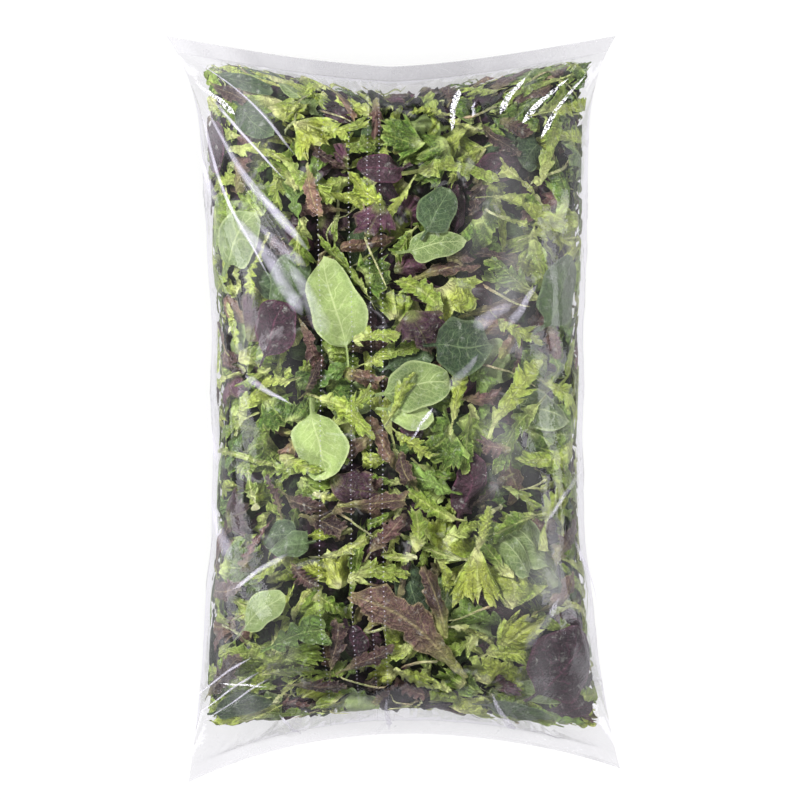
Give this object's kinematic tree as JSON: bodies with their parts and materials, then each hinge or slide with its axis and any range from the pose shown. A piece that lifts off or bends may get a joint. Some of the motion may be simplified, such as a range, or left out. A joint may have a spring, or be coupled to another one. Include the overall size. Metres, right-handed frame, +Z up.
{
  "type": "bag of salad leaves",
  "caption": "Clear pillow-shaped film bag, welded across both ends and filled with mixed salad leaves, lying on its back.",
  "frame": {"origin": "on the surface the bag lies on, under the middle of its outline", "axes": "+X to the right across the bag, +Y along the bag towards its top weld, +Z up out of the front face"},
  "size_m": [0.343, 0.564, 0.1217],
  "materials": {
    "film": "gloss",
    "green_leaf": "satin",
    "lime_leaf": "satin",
    "red_leaf": "satin",
    "stem": "satin"
  },
  "bodies": {
    "root": {"salad_bag": "film"}
  },
  "joints": []
}
